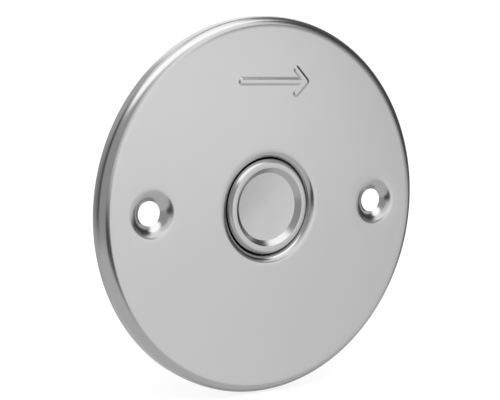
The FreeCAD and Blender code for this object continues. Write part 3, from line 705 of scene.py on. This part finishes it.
INSIDE = 0.9999  # a face whose middle is nearer than this share of a radius lies in the opening
skin = bmesh.new()
skin_points = []
for place in flat_places:
    sink = sum(dish_sink((place - centre).length) for centre in HOLE_CENTRES)
    near_mark = abs(place.y - MARK_UP) < MARK_HEIGHT
    rise = arrow_rise(place.x, place.y) if near_mark else 0.0
    skin_points.append(skin.verts.new(Vector((place.x, FACE + sink - rise, place.y)) * MM))
for face in flat_faces:
    middle = sum((flat_places[i] for i in face), Vector((0, 0))) / len(face)
    in_hole = min((middle - centre).length for centre in HOLE_CENTRES) < SCREW_HOLE * INSIDE
    if middle.length > lip_edge * INSIDE and not in_hole:
        skin.faces.new([skin_points[i] for i in face])


def walk_ring(loop, steps, profile):
    """Carry a ring of the skin along a profile of (radius, depth) points."""
    for radius, depth in profile:
        places = ring_places(0, radius, steps)
        following = [skin.verts.new(Vector((p.x, depth, p.y)) * MM) for p in places]
        for i in range(steps):
            k = (i + 1) % steps
            skin.faces.new((loop[i], loop[k], following[k], following[i]))
        loop = following


def skin_ring(numbers):
    """The skin's points for a ring of the flat part."""
    return [skin_points[where[n]] for n in numbers]


# %% Rim and collar
# The first two points of each profile are already in the skin.
rim_corners = [(flat_edge - 1, FACE), (PLATE_RADIUS, FACE, RIM_BEND), (PLATE_RADIUS, 0)]
rim_profile = rounded(rim_corners)[2:]
cup_corners = [
    (lip_edge + 1, FACE),
    (CUP_RADIUS, FACE, LIP_BEND),
    (CUP_RADIUS, CUP_FLOOR, CUP_CORNER),
    (FLOOR_HOLE, CUP_FLOOR),
]
cup_profile = rounded(cup_corners)[2:]
walk_ring(skin_ring(outer_ring), RIM_STEPS, rim_profile)
walk_ring(skin_ring(collar_ring), LIP_STEPS, cup_profile)
bmesh.ops.recalc_face_normals(skin, faces=skin.faces)
front = max(skin.faces, key=lambda f: abs(f.normal.y) * f.calc_area())
if front.normal.y > 0:
    bmesh.ops.reverse_faces(skin, faces=skin.faces)
plate = new_object("plate", [])
skin.to_mesh(plate.data)
skin.free()
print("front skin:", len(plate.data.polygons), "faces")

# %% Thickness of the sheet
thick = plate.modifiers.new("sheet", "SOLIDIFY")
thick.thickness = SHEET * MM
thick.offset = -1
thick.use_even_offset = True
bake_modifiers(plate)
settle(plate, "root", "cover_plate")

# %% [markdown]
# ## The threaded barrel
#
# The barrel is a turned tube with an M22 x 1 thread cut on it. The lathe tree makes the plain
# tube, with many rows along the threaded length, and a second tree cuts the thread: a point's
# depth along the axis and its angle round it say where it is between two crests, and it sinks
# towards the axis by that much. The thread fades out at both ends, as a real tool runs out.

# %% Thread tree
thread_tree = bpy.data.node_groups.new("thread", "GeometryNodeTree")
declare(
    thread_tree,
    "Threaded",
    Turned="Geometry",
    Crest_radius="Float",
    Pitch="Float",
    Depth="Float",
    Start="Float",
    End="Float",
    Material="Material",
)
given = add(thread_tree, "NodeGroupInput").outputs
stands = add(thread_tree, "GeometryNodeInputPosition").outputs[0]
axes = add(thread_tree, "ShaderNodeSeparateXYZ", {0: stands}).outputs
round_axis = add(thread_tree, "ShaderNodeMath", {0: axes["Z"], 1: axes["X"]}, operation="ARCTAN2")
turn_share = add(thread_tree, "ShaderNodeMath", {0: round_axis, 1: math.tau}, operation="DIVIDE")
pitches = add(thread_tree, "ShaderNodeMath", {0: axes["Y"], 1: given["Pitch"]}, operation="DIVIDE")
phase = add(thread_tree, "ShaderNodeMath", {0: pitches, 1: turn_share}, operation="ADD")
flank = add(thread_tree, "ShaderNodeMath", {0: phase, 1: 0.5}, operation="PINGPONG")
flat_place = add(thread_tree, "ShaderNodeVectorMath", {0: stands, 1: (1, 0, 1)}, operation="MULTIPLY")
off_axis = add(thread_tree, "ShaderNodeVectorMath", {0: flat_place}, operation="LENGTH").outputs["Value"]
crest_least = add(thread_tree, "ShaderNodeMath", {0: given["Crest radius"], 1: WELD}, operation="SUBTRACT")
on_crest = add(thread_tree, "ShaderNodeMath", {0: off_axis, 1: crest_least}, operation="GREATER_THAN")
full_from = add(thread_tree, "ShaderNodeMath", {0: given["Start"], 1: given["Pitch"]}, operation="ADD")
limits = {"Value": axes["Y"], "From Min": given["Start"], "From Max": full_from}
run_in = add(thread_tree, "ShaderNodeMapRange", limits)
full_until = add(thread_tree, "ShaderNodeMath", {0: given["End"], 1: given["Pitch"]}, operation="SUBTRACT")
limits = {"Value": axes["Y"], "From Min": given["End"], "From Max": full_until}
run_out = add(thread_tree, "ShaderNodeMapRange", limits)
both_ends = add(thread_tree, "ShaderNodeMath", {0: run_in, 1: run_out}, operation="MULTIPLY")
fade = add(thread_tree, "ShaderNodeMath", {0: on_crest, 1: both_ends}, operation="MULTIPLY")
deepest = add(thread_tree, "ShaderNodeMath", {0: given["Depth"], 1: fade}, operation="MULTIPLY")
doubled = add(thread_tree, "ShaderNodeMath", {0: flank, 1: 2.0}, operation="MULTIPLY")
sink = add(thread_tree, "ShaderNodeMath", {0: doubled, 1: deepest}, operation="MULTIPLY")
sunk_share = add(thread_tree, "ShaderNodeMath", {0: sink, 1: given["Crest radius"]}, operation="DIVIDE")
shrink = add(thread_tree, "ShaderNodeMath", {0: 1.0, 1: sunk_share}, operation="SUBTRACT")
cut = add(thread_tree, "ShaderNodeCombineXYZ", {0: shrink, 1: 1.0, 2: shrink})
moved = add(thread_tree, "ShaderNodeVectorMath", {0: stands, 1: cut}, operation="MULTIPLY")
new_places = {"Geometry": given["Turned"], "Position": moved}
threaded = add(thread_tree, "GeometryNodeSetPosition", new_places)
real = add(thread_tree, "GeometryNodeRealizeInstances", {"Geometry": threaded})
coated = add(thread_tree, "GeometryNodeSetMaterial", {"Geometry": real, "Material": given["Material"]})
add(thread_tree, "NodeGroupOutput", {0: coated})
print("thread tree:", len(thread_tree.nodes), "nodes")

# %% Barrel
PITCH = 1.0
THREAD_DEPTH = 0.56
ROWS_A_TURN = 8
CREST = 10.95
FLANGE_RADIUS, FLANGE_THICKNESS = 12.3, 1.6
FRONT_BORE, STEP_BORE, REAR_BORE = 8.0, 6.5, 9.0
CIRCLIP_GROOVE = 9.6
LEAD, RELIEF, RUN_OUT = 0.5, 0.6, 0.2
flange_front, barrel_end = low("switch_barrel", "Y"), high("switch_barrel", "Y")
flange_rear = flange_front + FLANGE_THICKNESS
step_front, step_rear = high("guide_bush", "Y"), low("contact_housing", "Y")
circlip_front, circlip_rear = low("barrel_circlip", "Y"), high("barrel_circlip", "Y")
thread_start, thread_end = flange_rear + RELIEF, barrel_end - LEAD
row_count = round((thread_end - thread_start) / PITCH * ROWS_A_TURN)
row_gap = (thread_end - thread_start) / row_count
barrel = turned(
    "barrel",
    [
        (FRONT_BORE, flange_front, 0.15),
        (FLANGE_RADIUS, flange_front, 0.2),
        (FLANGE_RADIUS, flange_rear, 0.1),
        (CREST, flange_rear, 0.15),
        *[(CREST, thread_start + row_gap * k) for k in range(row_count + 1)],
        (CREST - LEAD, barrel_end, 0.05),
        (REAR_BORE, barrel_end, 0.1),
        (REAR_BORE, circlip_rear, 0.03),
        (CIRCLIP_GROOVE, circlip_rear, 0.03),
        (CIRCLIP_GROOVE, circlip_front, 0.03),
        (REAR_BORE, circlip_front, 0.03),
        (REAR_BORE, step_rear, 0.1),
        (STEP_BORE, step_rear, 0.1),
        (STEP_BORE, step_front, 0.1),
        (FRONT_BORE, step_front, 0.1),
    ],
    "switch_barrel",
)
run_tree(
    barrel,
    thread_tree,
    Crest_radius=CREST * MM,
    Pitch=PITCH * MM,
    Depth=THREAD_DEPTH * MM,
    Start=thread_start * MM,
    End=(thread_end - RUN_OUT) * MM,
    Material=FINISHES[slots["switch_barrel"]],
)
settle(barrel, "root", "switch_barrel")

# %% [markdown]
# ## Rings
#
# Gaskets, washers and O-rings are turned too. Rubber ones get rounded edges, because a moulding
# never has a sharp one. The O-rings are a circle in section.

# %% Rings
RING_PIECES = {
    # name: (body, node, inner radius, outer radius, edge rounding)
    "wall_seal": ("root", "wall_gasket", 43.6, 46.5, 0.4),
    "seat_seal": ("root", "seat_gasket", FLOOR_HOLE, 11.9, 0.25),
    "travel_washer": ("button", "stop_washer", 4.1, 6.2, 0.08),
}
for piece_name, (body, node, inner, outer, edge) in RING_PIECES.items():
    near, far = low(node, "Y"), high(node, "Y")
    section = [(inner, near, edge), (outer, near, edge), (outer, far, edge), (inner, far, edge)]
    ring = turned(piece_name, section, node, segments=160)
    settle(ring, body, node)

# %% O-rings
O_RING_STEPS = 20
for node in ("stem_o_ring", "housing_o_ring"):
    middle = (low(node, "Y") + high(node, "Y")) / 2
    thickness = high(node, "Y") - low(node, "Y")
    ring_radius = high(node, "X") - thickness / 2
    circle = []
    for k in range(O_RING_STEPS):
        arm = Matrix.Rotation(math.tau * k / O_RING_STEPS, 2) @ Vector((thickness / 2, 0))
        circle.append((ring_radius + arm.x, middle + arm.y))
    ring = turned(node + "_rubber", circle, node, segments=96)
    settle(ring, "root", node)

# %% [markdown]
# ## The springs
#
# A compression spring is a helix whose end coils lie flat, so that it stands square. The path
# is worked out point by point: the pitch is a wire's thickness in the end coils and opens up in
# between. A Geometry Nodes tree then sweeps a circle along the path. Each spring rides with the
# body its fixed end stands on.

# %% Spring wire tree
wire_tree = bpy.data.node_groups.new("wire", "GeometryNodeTree")
declare(wire_tree, "Wire", Path="Geometry", Wire_radius="Float", Material="Material")
given = add(wire_tree, "NodeGroupInput").outputs
line = add(wire_tree, "GeometryNodeMeshToCurve", {0: given["Path"]})
wire_round = {"Resolution": 12, "Radius": given["Wire radius"]}
circle = add(wire_tree, "GeometryNodeCurvePrimitiveCircle", wire_round)
swept = {"Curve": line, "Profile Curve": circle, "Fill Caps": True}
tube = add(wire_tree, "GeometryNodeCurveToMesh", swept)
real = add(wire_tree, "GeometryNodeRealizeInstances", {"Geometry": tube})
coated = add(wire_tree, "GeometryNodeSetMaterial", {"Geometry": real, "Material": given["Material"]})
add(wire_tree, "NodeGroupOutput", {0: coated})
print("wire tree:", len(wire_tree.nodes), "nodes")

# %% Path of a spring
COIL_STEPS = 40
END_COILS = 2  # one flat coil at each end
CLOSED_TURN = 0.6
OPENING_TURN = 0.8
CLOSED_LIFT = 0.9  # how much of a wire's thickness an end coil climbs in a turn
OPEN_LIFT = 4.0


def spring_path(radius, near, far, wire, working):
    """Points of a helix along Y whose end coils lie nearly flat."""
    coils = working + END_COILS
    steps = round(coils * COIL_STEPS)
    lift = []
    for k in range(steps + 1):
        turn = coils * k / steps
        from_end = min(turn, coils - turn)
        opening = max(0.0, min(1.0, (from_end - CLOSED_TURN) / OPENING_TURN))
        lift.append(wire * CLOSED_LIFT + opening * OPEN_LIFT)
    climbed = sum(lift[:-1])
    points = []
    for k in range(steps + 1):
        angle = math.tau * coils * k / steps
        depth = near + (far - near) * sum(lift[:k]) / climbed
        points.append((radius * math.cos(angle), depth, radius * math.sin(angle)))
    return points


# %% Springs
SPRINGS = {
    # node: (body, joint, wire, working turns, kept share, where its fixed end stands)
    "return_spring": ("root", "button_press", 0.8, 3.0, 0.775, "far"),
    "plunger_spring": ("root", "plunger_travel", 0.3, 4.0, 0.585, "far"),
    "contact_spring": ("plunger", "bridge_travel", 0.25, 4.0, 0.845, "near"),
}
for node, (body, joint, wire, working, kept, fixed) in SPRINGS.items():
    near, far = low(node, "Y") + wire / 2, high(node, "Y") - wire / 2
    coil_radius = (high(node, "X") - low(node, "X")) / 2 - wire / 2
    path = spring_path(coil_radius, near, far, wire, working)
    links = [(k, k + 1) for k in range(len(path) - 1)]
    spring = new_object(node + "_wire", path, links)
    finish = FINISHES[slots[node]]
    run_tree(spring, wire_tree, Wire_radius=wire / 2 * MM, Material=finish)
    settle(spring, body, node)
    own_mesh(spring)
